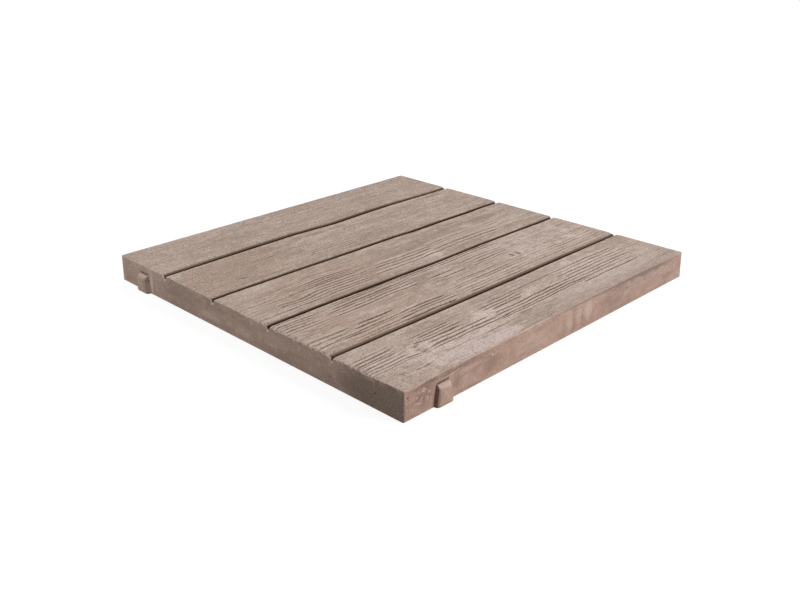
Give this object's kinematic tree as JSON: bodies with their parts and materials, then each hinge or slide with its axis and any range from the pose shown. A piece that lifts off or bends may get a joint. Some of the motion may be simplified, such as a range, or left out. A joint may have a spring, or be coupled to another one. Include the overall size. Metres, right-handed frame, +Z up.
{
  "type": "wood-effect paving slab",
  "caption": "Square cast-concrete paving slab whose upper face copies grained timber boards with V joints between them, with a small spacer nib on each side, laid flat as garden paving.",
  "frame": {"origin": "centre of the slab's foot, on the bed that it is laid on", "axes": "+Z up through the thickness to the boards, +Y along the boards, +X across them"},
  "size_m": [0.512, 0.512, 0.033],
  "materials": {
    "tinted_concrete": "matt cast concrete tinted taupe brown"
  },
  "bodies": {
    "root": {"paving_slab": "tinted_concrete"}
  },
  "joints": []
}
